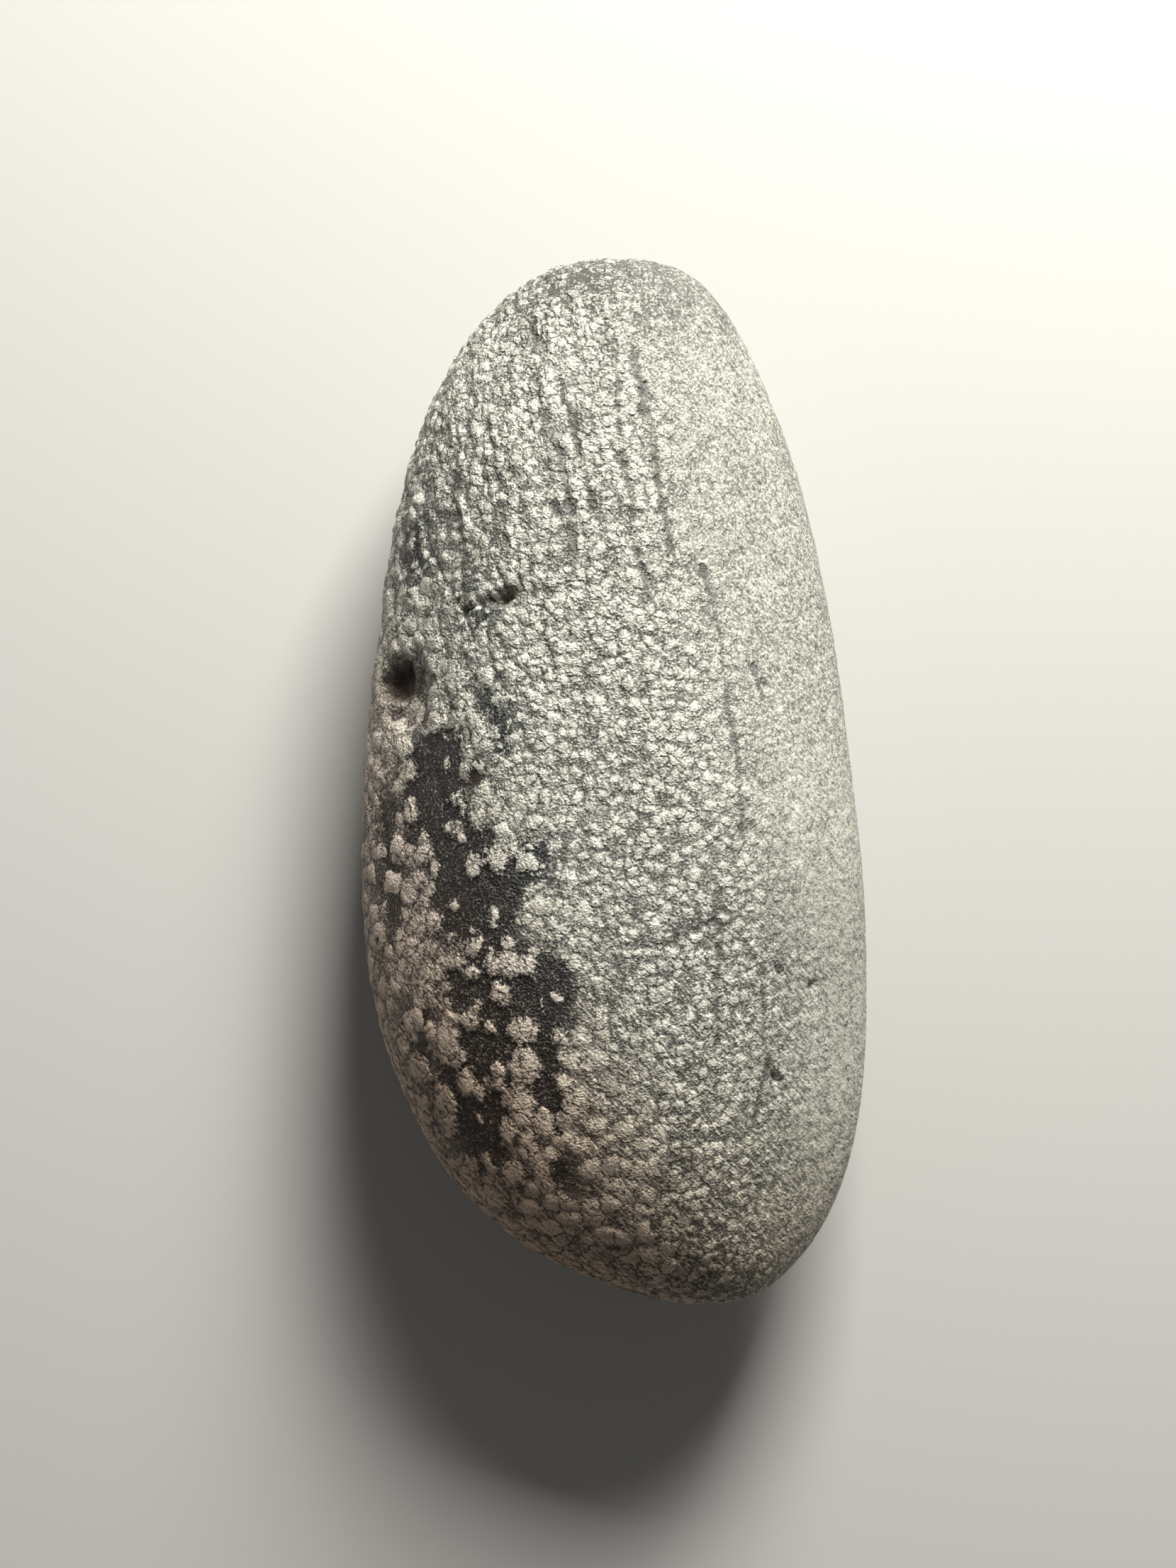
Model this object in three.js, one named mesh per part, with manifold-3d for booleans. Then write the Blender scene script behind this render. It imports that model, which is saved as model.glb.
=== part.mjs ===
// A sea-tumbled pebble of snowflake obsidian, lying on a small flat spot of its underside.
// Units are millimetres and +Z is up. +X runs across the stone and +Y towards its narrow end.
// The origin is on the surface that it rests on, under the middle of its outline.
import * as THREE from 'three';
import { mergeVertices } from 'three/addons/utils/BufferGeometryUtils.js';
import Module from 'manifold-3d';

// ---- Driving dimensions -------------------------------------------------------------------

const LENGTH = 51.0; // narrow end to broad end, along Y
const WIDTH = 24.4; // across the broadest place, along X
const THICKNESS = 17.0; // from the resting surface to the crown, along Z
const GIRDLE = 8.1; // height of the widest outline above the resting surface
const FLAT_CUT = 0.3; // how much of the rounded underside the flat spot takes away

// The outline seen from above: its distance from the centre, as a share of the plain ellipse,
// every 20 degrees from +X towards +Y.
const OUTLINE = [
  0.987, 0.994, 1.042, 1.078, 1.018, 0.986, 0.966, 0.946, 0.938,
  0.994, 1.06, 1.043, 0.985, 0.96, 1.015, 1.122, 1.176, 1.068,
];

// Rounding of the cross-section: 2 is an ellipse, more is boxier.
const FULLNESS = 2.35;

// Worn facets: the direction that each one faces, and how far its plane is from the centre.
const FACETS = [
  { name: 'upper right bevel', facing: [0.6, 0.15, 0.78], distance: 9.75 },
  { name: 'lower right bevel', facing: [0.6, -0.2, 0.77], distance: 11.2 },
  { name: 'left shoulder', facing: [-0.72, 0.1, 0.69], distance: 9.7 },
  { name: 'back, left', facing: [-0.5, 0.12, -0.86], distance: 9.0 },
  { name: 'back, right', facing: [0.5, -0.12, -0.86], distance: 9.6 },
];
const FACET_SHARPNESS = 16; // how tightly the facets meet the round body

// Broad swells and dips: place on the upper or lower side, radius and height.
const SWELLS = [
  { x: -4.5, y: 14.0, side: 1, radius: 5.0, height: 0.22 },
  { x: -2.0, y: 7.0, side: 1, radius: 3.5, height: -0.16 },
  { x: -6.5, y: -8.0, side: 1, radius: 5.0, height: 0.18 },
  { x: 3.0, y: -16.0, side: 1, radius: 6.0, height: 0.2 },
  { x: 9.5, y: -11.0, side: 1, radius: 3.5, height: -0.2 },
  { x: 3.5, y: 12.0, side: -1, radius: 6.0, height: 0.25 },
  { x: -5.5, y: -12.0, side: -1, radius: 5.5, height: -0.25 },
];

// The chipped hollow in the left edge: each bite's place, sizes and turn about Z.
const HOLLOW = [
  { x: -9.9, y: 5.5, size: [1.5, 1.15, 0.85], turn: 10 },
  { x: -9.5, y: 4.1, size: [1.3, 1.1, 0.45], turn: 30 },
  { x: -9.4, y: 5.0, size: [2.1, 2.3, 0.4], turn: 10 },
];

// Small pits and chips: place, side, half sizes (across, along, deep) and turn about Z.
const PITS = [
  { x: -4.4, y: 9.05, side: 1, size: [0.75, 0.5, 0.6], turn: 10 },
  { x: 7.8, y: 4.2, side: 1, size: [0.2, 0.5, 0.25], turn: 25 },
  { x: 7.1, y: -14.4, side: 1, size: [0.25, 0.5, 0.35], turn: 20 },
  { x: 7.6, y: -9.4, side: 1, size: [0.2, 0.6, 0.22], turn: 25 },
  { x: 9.3, y: -10.4, side: 1, size: [0.3, 0.35, 0.22], turn: 0 },
  { x: 4.0, y: 21.0, side: 1, size: [0.25, 0.6, 0.22], turn: 5 },
  { x: 2.5, y: 13.0, side: -1, size: [0.7, 0.9, 0.5], turn: 40 },
  { x: -5.5, y: 2.0, side: -1, size: [0.6, 0.5, 0.4], turn: 0 },
  { x: 6.0, y: -14.0, side: -1, size: [1.1, 0.6, 0.5], turn: -25 },
];

// Cracks: the points they run through, the side, and their half-width at the widest.
const CRACKS = [
  {
    side: 1,
    halfWidth: 0.25,
    route: [[-6.6, 8.4], [-5.7, 8.75], [-4.6, 9.0], [-3.4, 9.1], [-2.4, 9.2], [-1.2, 9.6]],
  },
  {
    side: 1,
    halfWidth: 0.16,
    route: [[0.9, -7.9], [2.6, -7.55], [4.3, -6.85], [5.5, -5.95]],
  },
  {
    side: -1,
    halfWidth: 0.22,
    route: [[-4.5, 12.0], [-1.5, 10.4], [1.5, 10.0], [4.5, 8.2]],
  },
];

const CRACK_DEPTH = 1.5; // times its half-width
const CHIP_UNEVENNESS = 0.16; // how far a chip's wall departs from a smooth bowl

const STONE_COLOUR = 0x8f8f88;
const STONE_ROUGHNESS = 0.62;

// How finely each shape is faceted.
const BODY_DETAIL = 17;
const CHIP_DETAIL = 2;
const CRACK_STEPS = 14;
const EVENING = 0.6; // 0 spreads the triangles evenly by angle, 1 follows the proportions fully

// ---- The shape of the stone ---------------------------------------------------------------

const HALF_WIDTH = WIDTH / 2;
const HALF_LENGTH = LENGTH / 2;
const CROWN = THICKNESS - GIRDLE;
const KEEL = GIRDLE + FLAT_CUT;
const TURN = 2 * Math.PI;
const UP = new THREE.Vector3(0, 0, 1);

// A closed curve through the outline's shares, smooth at each of them.
function outlineShare(angle) {
  const count = OUTLINE.length;
  const place = (((angle / TURN) % 1) + 1) % 1 * count;
  const index = Math.floor(place) % count;
  const u = place - Math.floor(place);
  const before = OUTLINE[(index + count - 1) % count];
  const from = OUTLINE[index];
  const to = OUTLINE[(index + 1) % count];
  const after = OUTLINE[(index + 2) % count];
  const slope = to - before;
  const bend = 2 * before - 5 * from + 4 * to - after;
  const twist = 3 * (from - to) + after - before;
  return from + 0.5 * u * (slope + u * (bend + u * twist));
}

// 1 on the stone's surface, less inside it and more outside, growing in proportion to the
// distance from the stone's centre, which is in the plane of the girdle.
function reach(x, y, z) {
  const share = outlineShare(Math.atan2(y / HALF_LENGTH, x / HALF_WIDTH));
  const across = Math.hypot(x / HALF_WIDTH, y / HALF_LENGTH) / share;
  const up = Math.abs(z) / (z > 0 ? CROWN : KEEL);
  let total = (across ** FULLNESS + up ** FULLNESS) ** (FACET_SHARPNESS / FULLNESS);
  for (const facet of FACETS) {
    const [nx, ny, nz] = facet.facing;
    const along = (nx * x + ny * y + nz * z) / (Math.hypot(nx, ny, nz) * facet.distance);
    total += Math.max(0, along) ** FACET_SHARPNESS;
  }
  return total ** (1 / FACET_SHARPNESS);
}

// How far the swells lift the surface at a point of it.
function swell(x, y, z) {
  let lift = 0;
  for (const s of SWELLS) {
    if (s.side * z > 0) {
      lift += s.height * Math.exp(-((x - s.x) ** 2 + (y - s.y) ** 2) / s.radius ** 2);
    }
  }
  return lift;
}

// The surface point in a direction from the stone's centre.
function surfacePoint(direction) {
  const point = direction.clone().divideScalar(reach(direction.x, direction.y, direction.z));
  const length = point.length();
  return point.multiplyScalar((length + swell(point.x, point.y, point.z)) / length);
}

// The surface point above (side 1) or below (side -1) a place in the plane of the girdle.
function pointOver(x, y, side) {
  let low = 0;
  let high = THICKNESS;
  for (let step = 0; step < 40; step += 1) {
    const middle = (low + high) / 2;
    if (reach(x, y, side * middle) < 1) low = middle;
    else high = middle;
  }
  return surfacePoint(new THREE.Vector3(x, y, side * low));
}

// The outward direction of the surface at a point of it.
function outward(point) {
  const step = 0.05;
  const slope = (dx, dy, dz) => {
    const ahead = reach(point.x + dx, point.y + dy, point.z + dz);
    return ahead - reach(point.x - dx, point.y - dy, point.z - dz);
  };
  return new THREE.Vector3(slope(step, 0, 0), slope(0, step, 0), slope(0, 0, step)).normalize();
}

// ---- Solids -------------------------------------------------------------------------------

const manifold = await Module();
manifold.setup();

function solidFrom(geometry) {
  const shared = geometry.clone();
  shared.deleteAttribute('normal');
  shared.deleteAttribute('uv');
  const merged = mergeVertices(shared, 1e-4);
  return new manifold.Manifold(
    new manifold.Mesh({
      numProp: 3,
      vertProperties: new Float32Array(merged.getAttribute('position').array),
      triVerts: new Uint32Array(merged.index.array),
    }),
  );
}

function geometryFrom(solid) {
  const mesh = solid.getMesh();
  const geometry = new THREE.BufferGeometry();
  geometry.setAttribute('position', new THREE.BufferAttribute(mesh.vertProperties, 3));
  geometry.setIndex(new THREE.BufferAttribute(mesh.triVerts, 1));
  return geometry;
}

// The body before anything is chipped out of it. The sphere is drawn out towards the stone's
// proportions first, so that its triangles end up of nearly equal size.
function roundBody() {
  const geometry = new THREE.IcosahedronGeometry(1, BODY_DETAIL);
  const positions = geometry.getAttribute('position');
  const direction = new THREE.Vector3();
  for (let i = 0; i < positions.count; i += 1) {
    direction.fromBufferAttribute(positions, i);
    direction.x *= HALF_WIDTH ** EVENING;
    direction.y *= HALF_LENGTH ** EVENING;
    direction.z *= CROWN ** EVENING;
    const point = surfacePoint(direction);
    positions.setXYZ(i, point.x, point.y, point.z);
  }
  return solidFrom(geometry);
}

// A blunt, uneven lump that takes a bite out of the surface at a place on it.
function chipCutter({ x, y, side = 1, size, turn }) {
  const geometry = new THREE.IcosahedronGeometry(1, CHIP_DETAIL);
  const positions = geometry.getAttribute('position');
  for (let i = 0; i < positions.count; i += 1) {
    const [px, py, pz] = [positions.getX(i), positions.getY(i), positions.getZ(i)];
    const wave = Math.sin(3.1 * px + x) * Math.cos(2.7 * py + y + 1.9 * pz);
    const uneven = 1 + CHIP_UNEVENNESS * wave;
    positions.setXYZ(i, px * uneven, py * uneven, pz * uneven);
  }
  const centre = pointOver(x, y, side);
  const facing = outward(centre);
  const spin = new THREE.Quaternion().setFromAxisAngle(UP, THREE.MathUtils.degToRad(turn));
  const lean = new THREE.Quaternion().setFromUnitVectors(UP, facing);
  const place = new THREE.Matrix4().compose(centre, lean.multiply(spin), new THREE.Vector3(...size));
  return solidFrom(geometry.applyMatrix4(place));
}

// A sharp-bottomed groove that follows a route over the surface and fades out at both ends.
function crackCutter({ side, halfWidth, route }) {
  const curve = new THREE.CatmullRomCurve3(route.map(([x, y]) => pointOver(x, y, side)));
  const rings = CRACK_STEPS - 1;
  const corners = [];
  for (let ring = 1; ring <= rings; ring += 1) {
    const share = ring / CRACK_STEPS;
    const flat = curve.getPoint(share);
    const centre = pointOver(flat.x, flat.y, side);
    const facing = outward(centre);
    const across = curve.getTangent(share).cross(facing).normalize();
    const half = halfWidth * Math.sin(Math.PI * share) ** 0.5;
    corners.push(centre.clone().addScaledVector(facing, -CRACK_DEPTH * half));
    corners.push(centre.clone().addScaledVector(across, half).addScaledVector(facing, half / 2));
    corners.push(centre.clone().addScaledVector(across, -half).addScaledVector(facing, half / 2));
  }
  const start = corners.push(pointOver(...route[0], side)) - 1;
  const end = corners.push(pointOver(...route[route.length - 1], side)) - 1;
  const faces = [];
  const last = 3 * (rings - 1);
  for (let corner = 0; corner < 3; corner += 1) {
    const next = (corner + 1) % 3;
    faces.push(start, next, corner);
    for (let here = 0; here < last; here += 3) {
      const there = here + 3;
      faces.push(here + corner, here + next, there + next);
      faces.push(here + corner, there + next, there + corner);
    }
    faces.push(end, last + corner, last + next);
  }
  const geometry = new THREE.BufferGeometry().setFromPoints(corners);
  geometry.setIndex(faces);
  const solid = solidFrom(geometry);
  return solid.volume() > 0 ? solid : solidFrom(geometry.setIndex(faces.reverse()));
}

// Everything under the resting surface, so that the flat spot is one true plane.
function groundBlock() {
  const block = new THREE.BoxGeometry(2 * WIDTH, 2 * LENGTH, 2 * THICKNESS);
  block.translate(0, 0, -GIRDLE - THICKNESS);
  return solidFrom(block);
}

function obsidianPebble() {
  let stone = roundBody();
  for (const bite of HOLLOW) stone = stone.subtract(chipCutter(bite));
  for (const pit of PITS) stone = stone.subtract(chipCutter(pit));
  for (const crack of CRACKS) stone = stone.subtract(crackCutter(crack));
  stone = stone.subtract(groundBlock());
  const geometry = geometryFrom(stone);
  geometry.computeBoundingBox();
  const { min, max } = geometry.boundingBox;
  geometry.translate(-(min.x + max.x) / 2, -(min.y + max.y) / 2, -min.z);
  geometry.scale(WIDTH / (max.x - min.x), LENGTH / (max.y - min.y), THICKNESS / (max.z - min.z));
  geometry.computeVertexNormals();
  const material = new THREE.MeshStandardMaterial({
    color: STONE_COLOUR,
    roughness: STONE_ROUGHNESS,
    metalness: 0,
    flatShading: true,
  });
  const mesh = new THREE.Mesh(geometry, material);
  mesh.name = 'obsidian_pebble';
  return mesh;
}

const part = new THREE.Group();
part.add(obsidianPebble());

export default part;
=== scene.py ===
"""A sea-tumbled pebble of snowflake obsidian, seen from straight above.

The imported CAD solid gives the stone's place and size. A fine mesh of the same form replaces it
and adds what the solid is too coarse for: granules and snowflakes that stand proud, patches of
bare dark glass between them, flow lines, and the frosted surface.

The form is worked out in millimetres from the stone's centre, in the plane of its widest outline,
and turned into metres when the mesh is made.
"""

import math

import bpy
import numpy as np
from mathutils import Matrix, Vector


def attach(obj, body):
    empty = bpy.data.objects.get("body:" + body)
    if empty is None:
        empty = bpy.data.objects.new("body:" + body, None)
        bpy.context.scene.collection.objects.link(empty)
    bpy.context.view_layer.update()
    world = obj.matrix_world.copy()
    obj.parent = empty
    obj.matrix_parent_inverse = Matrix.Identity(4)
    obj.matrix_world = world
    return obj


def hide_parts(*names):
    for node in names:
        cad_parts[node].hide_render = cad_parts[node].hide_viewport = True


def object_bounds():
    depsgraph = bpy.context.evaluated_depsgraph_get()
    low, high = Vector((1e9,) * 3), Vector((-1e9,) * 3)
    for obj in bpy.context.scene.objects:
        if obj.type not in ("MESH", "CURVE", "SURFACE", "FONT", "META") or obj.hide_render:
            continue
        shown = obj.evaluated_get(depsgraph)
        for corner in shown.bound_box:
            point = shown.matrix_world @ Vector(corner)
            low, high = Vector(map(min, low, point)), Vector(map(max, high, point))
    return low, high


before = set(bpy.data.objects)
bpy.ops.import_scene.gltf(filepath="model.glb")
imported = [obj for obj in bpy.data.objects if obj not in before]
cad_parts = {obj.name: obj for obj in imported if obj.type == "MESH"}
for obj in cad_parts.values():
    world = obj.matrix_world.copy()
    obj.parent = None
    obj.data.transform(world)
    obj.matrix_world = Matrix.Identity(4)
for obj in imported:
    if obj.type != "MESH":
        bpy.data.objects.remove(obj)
CAD_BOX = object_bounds()

MM = 0.001

# ---- Driving sizes, in millimetres: the same as the solid's ----

LENGTH = 51.0
WIDTH = 24.4
THICKNESS = 17.0
GIRDLE = 8.1  # height of the widest outline above the resting surface
FLAT_CUT = 0.3  # what the flat spot takes off the rounded underside
HALF_WIDTH = WIDTH / 2
HALF_LENGTH = LENGTH / 2
CROWN = THICKNESS - GIRDLE
KEEL = GIRDLE + FLAT_CUT
FULLNESS = 2.35
FACET_SHARPNESS = 16

# The outline's distance from the centre, as a share of the plain ellipse, every 20 degrees.
OUTLINE = np.array([
    0.987, 0.994, 1.042, 1.078, 1.018, 0.986, 0.966, 0.946, 0.938,
    0.994, 1.06, 1.043, 0.985, 0.96, 1.015, 1.122, 1.176, 1.068,
])

# Worn facets: facing, distance from the centre.
FACETS = [
    ((0.6, 0.15, 0.78), 9.75),
    ((0.6, -0.2, 0.77), 11.2),
    ((-0.72, 0.1, 0.69), 9.7),
    ((-0.5, 0.12, -0.86), 9.0),
    ((0.5, -0.12, -0.86), 9.6),
]

# Broad swells: x, y, side, radius, height.
SWELLS = [
    (-4.5, 14.0, 1, 5.0, 0.22),
    (-2.0, 7.0, 1, 3.5, -0.16),
    (-6.5, -8.0, 1, 5.0, 0.18),
    (3.0, -16.0, 1, 6.0, 0.2),
    (9.5, -11.0, 1, 3.5, -0.2),
    (3.5, 12.0, -1, 6.0, 0.25),
    (-5.5, -12.0, -1, 5.5, -0.25),
]

# Bites and pits: x, y, side, half sizes (across, along, deep), turn in degrees.
HOLLOW = [
    (-9.9, 5.5, 1, (1.5, 1.15, 0.85), 10),
    (-9.5, 4.1, 1, (1.3, 1.1, 0.45), 30),
    (-9.4, 5.0, 1, (2.1, 2.3, 0.4), 10),
]
PITS = [
    (-4.4, 9.05, 1, (0.75, 0.5, 0.6), 10),
    (7.8, 4.2, 1, (0.2, 0.5, 0.25), 25),
    (7.1, -14.4, 1, (0.25, 0.5, 0.35), 20),
    (7.6, -9.4, 1, (0.2, 0.6, 0.22), 25),
    (9.3, -10.4, 1, (0.3, 0.35, 0.22), 0),
    (4.0, 21.0, 1, (0.25, 0.6, 0.22), 5),
    (2.5, 13.0, -1, (0.7, 0.9, 0.5), 40),
    (-5.5, 2.0, -1, (0.6, 0.5, 0.4), 0),
    (6.0, -14.0, -1, (1.1, 0.6, 0.5), -25),
]

# Cracks: side, half-width, route.
CRACKS = [
    (1, 0.25, [(-6.6, 8.4), (-5.7, 8.75), (-4.6, 9.0), (-3.4, 9.1), (-2.4, 9.2), (-1.2, 9.6)]),
    (1, 0.16, [(0.9, -7.9), (2.6, -7.55), (4.3, -6.85), (5.5, -5.95)]),
    (-1, 0.22, [(-4.5, 12.0), (-1.5, 10.4), (1.5, 10.0), (4.5, 8.2)]),
]
BITE_POWER = 2.6  # how square a bite's rim is, where 2 would be an oval
BITE_WALL = (1.1, 0.5)  # the shares of a bite's radius where its wall begins and where it stops
CRACK_DEPTH = 1.5  # times its half-width
WORN = 0.6  # how much of that depth the granules beside a crack leave open

# ---- The camera: it looks straight down on the stone ----

IMAGE_WIDTH = 1659
IMAGE_HEIGHT = 2212
STONE_CENTRE_PX = (854.5, 1106.7)  # where the middle of the stone's box is in the image
LEAN = math.radians(3.8)  # how far the stone's top leans to the left in the image
MM_PER_PX = 0.034583  # in the plane of the widest outline
CAMERA_DISTANCE = 170.0  # from that plane
SENSOR = 24.0

IMAGE_RIGHT = np.array([math.cos(LEAN), -math.sin(LEAN)])
IMAGE_UP = np.array([math.sin(LEAN), math.cos(LEAN)])


def image_point(px, py):
    """Where an image point lies in the plane of the widest outline."""
    right = (px - STONE_CENTRE_PX[0]) * MM_PER_PX
    up = (STONE_CENTRE_PX[1] - py) * MM_PER_PX
    return IMAGE_RIGHT * right + IMAGE_UP * up


CAMERA_XY = image_point(IMAGE_WIDTH / 2, IMAGE_HEIGHT / 2)

# ---- Form ----

HALVINGS = 40  # of the height range in which a surface point is looked for
SIGHT_STEPS = 12  # to follow an image point down to the surface
FAR = 1e9  # further away than anything on the stone
FAR_OUTSIDE = -5.0  # further outside a shape than matters, in millimetres
FAR_FROM_LINE = 2.0


def outline_share(angle):
    """A closed curve through the outline's shares, smooth at each of them."""
    count = len(OUTLINE)
    place = np.mod(angle / (2 * math.pi), 1.0) * count
    index = np.floor(place).astype(int) % count
    u = place - np.floor(place)
    before = OUTLINE[(index - 1) % count]
    start = OUTLINE[index]
    end = OUTLINE[(index + 1) % count]
    after = OUTLINE[(index + 2) % count]
    bend = 2 * before - 5 * start + 4 * end - after
    twist = 3 * (start - end) + after - before
    return start + 0.5 * u * (end - before + u * (bend + u * twist))


def reach(points):
    """1 on the surface, less inside it and more outside, in proportion to the distance."""
    x, y, z = points[:, 0], points[:, 1], points[:, 2]
    share = outline_share(np.arctan2(y / HALF_LENGTH, x / HALF_WIDTH))
    across = np.hypot(x / HALF_WIDTH, y / HALF_LENGTH) / share
    up = np.abs(z) / np.where(z > 0, CROWN, KEEL)
    total = (across**FULLNESS + up**FULLNESS) ** (FACET_SHARPNESS / FULLNESS)
    for facing, distance in FACETS:
        normal = np.array(facing) / np.linalg.norm(facing)
        total += np.maximum(0, points @ normal / distance) ** FACET_SHARPNESS
    return total ** (1 / FACET_SHARPNESS)


def surface_points(directions):
    """The surface points in given directions from the centre, swells included."""
    points = directions / reach(directions)[:, None]
    lift = np.zeros(len(points))
    for x, y, side, radius, height in SWELLS:
        near = np.exp(-((points[:, 0] - x) ** 2 + (points[:, 1] - y) ** 2) / radius**2)
        lift += height * near * (side * points[:, 2] > 0)
    length = np.linalg.norm(points, axis=1)
    return points * ((length + lift) / length)[:, None]


def points_over(xy, side):
    """The surface points above (side 1) or below (side -1) places in the girdle's plane."""
    xy = np.atleast_2d(np.array(xy, float))
    low = np.zeros(len(xy))
    high = np.full(len(xy), THICKNESS)
    for _ in range(HALVINGS):
        middle = (low + high) / 2
        inside = reach(np.column_stack([xy, side * middle])) < 1
        low = np.where(inside, middle, low)
        high = np.where(inside, high, middle)
    return surface_points(np.column_stack([xy, side * low]))


def outward(points, step=0.05):
    """The surface's unit normals at points of it."""
    slopes = []
    for axis in np.eye(3):
        slopes.append(reach(points + axis * step) - reach(points - axis * step))
    normals = np.column_stack(slopes)
    return normals / np.linalg.norm(normals, axis=1)[:, None]


def seen_points(pixels):
    """The surface points that image points show."""
    plane = np.array([image_point(px, py) for px, py in pixels])
    height = np.full(len(plane), CROWN * 0.7)
    for _ in range(SIGHT_STEPS):
        near = (1 - height / CAMERA_DISTANCE)[:, None]
        xy = CAMERA_XY + (plane - CAMERA_XY) * near
        height = points_over(xy, 1)[:, 2]
    return points_over(xy, 1)


# ---- Small maths ----


def smooth(start, end, value):
    """0 up to start, 1 from end on, and a soft step between them, whichever is the higher."""
    t = np.clip((value - start) / (end - start), 0, 1)
    return t * t * (3 - 2 * t)


def tangents(normal, turn_degrees):
    """Two directions across a normal, the first turned from +X and the second from +Y."""
    east = np.array([1.0, 0.0, 0.0]) - normal * normal[0]
    east /= np.linalg.norm(east)
    north = np.cross(normal, east)
    turn = math.radians(turn_degrees)
    first = east * math.cos(turn) + north * math.sin(turn)
    second = north * math.cos(turn) - east * math.sin(turn)
    return first, second


def segment_distance(points, a, b):
    """Distance from points to the segment from a to b, and where along it, 0 to 1."""
    along = b - a
    t = np.clip((points - a) @ along / (along @ along), 0, 1)
    return np.linalg.norm(points - a - t[:, None] * along, axis=1), t


def route_distance(points, route):
    """Distance from points to a chain of segments, and how far along it, 0 to 1."""
    best = np.full(len(points), FAR)
    place = np.zeros(len(points))
    for i, (a, b) in enumerate(zip(route, route[1:])):
        distance, t = segment_distance(points, a, b)
        closer = distance < best
        best = np.where(closer, distance, best)
        place = np.where(closer, (i + t) / (len(route) - 1), place)
    return best, place


def inside_distance(xy, corners):
    """Signed distance to a polygon's edge in the plane, above 0 inside it."""
    inside = np.zeros(len(xy), bool)
    best = np.full(len(xy), FAR)
    for (ax, ay), (bx, by) in zip(corners, np.roll(corners, -1, axis=0)):
        crosses = (ay > xy[:, 1]) != (by > xy[:, 1])
        at = ax + (xy[:, 1] - ay) / np.where(by == ay, 1e-9, by - ay) * (bx - ax)
        inside ^= crosses & (xy[:, 0] < at)
        distance, _ = segment_distance(xy, np.array([ax, ay]), np.array([bx, by]))
        best = np.minimum(best, distance)
    return np.where(inside, best, -best)


# ---- The mesh's points and faces ----

FRONT_GRID = (208, 366)  # squares across and along the upper side
BACK_GRID = (104, 184)
ONCE_ROUND = 4.0  # the four sides of a square ring
DOME_POWER = 0.85  # how evenly a side's squares are shared between its middle and its edge


def cap_grid(columns, rows):
    """A square grid's corners, as directions over a half sphere and in the unit square."""
    v, u = np.meshgrid(np.linspace(-1, 1, rows + 1), np.linspace(-1, 1, columns + 1), indexing="ij")
    u = u.ravel()
    v = v.ravel()
    wide = np.abs(u) > np.abs(v)
    radius = np.where(wide, u, v)
    other = np.where(wide, v, u)
    safe = np.where(radius == 0, 1.0, radius)
    turn = math.pi / 4 * other / safe
    x = radius * np.where(wide, np.cos(turn), np.sin(turn))
    y = radius * np.where(wide, np.sin(turn), np.cos(turn))
    r2 = np.clip(x * x + y * y, 0, 1)
    rise = (1 - r2) ** DOME_POWER
    spread = np.sqrt(np.clip(1 - rise * rise, 0, 1) / np.maximum(r2, 1e-12))
    directions = np.column_stack([x * spread, y * spread, rise])
    return directions, np.column_stack([(u + 1) / 2, (v + 1) / 2])


def grid_quads(columns, rows, margin=0):
    """The squares of a grid, leaving out a margin of them around its edge."""
    row, column = np.meshgrid(
        np.arange(margin, rows - margin), np.arange(margin, columns - margin), indexing="ij"
    )
    first = (row * (columns + 1) + column).ravel()
    return np.column_stack([first, first + 1, first + columns + 2, first + columns + 1])


def grid_loop(columns, rows, margin):
    """The corners of a square ring of a grid, anticlockwise from its lower left."""
    index = np.arange((rows + 1) * (columns + 1)).reshape(rows + 1, columns + 1)
    index = index[margin:rows + 1 - margin, margin:columns + 1 - margin]
    return np.concatenate([index[0, :-1], index[:-1, -1], index[-1, :0:-1], index[:0:-1, 0]])


def loop_places(columns, rows):
    """How far round the square each corner of its ring is, 0 to 4."""
    return np.concatenate([
        np.arange(columns) / columns,
        1 + np.arange(rows) / rows,
        2 + np.arange(columns) / columns,
        3 + np.arange(rows) / rows,
    ])


def stitch(inner, inner_places, outer, outer_places):
    """Triangles between two rings of points that run the same way round."""
    faces = []
    i = 0
    j = 0
    while i < len(inner) or j < len(outer):
        next_inner = inner_places[i + 1] if i + 1 < len(inner) else ONCE_ROUND
        next_outer = outer_places[j + 1] if j + 1 < len(outer) else ONCE_ROUND
        a = inner[i % len(inner)]
        b = outer[j % len(outer)]
        if j >= len(outer) or (i < len(inner) and next_inner <= next_outer):
            i += 1
            faces.append((a, b, inner[i % len(inner)]))
        else:
            j += 1
            faces.append((a, b, outer[j % len(outer)]))
    return faces


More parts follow.
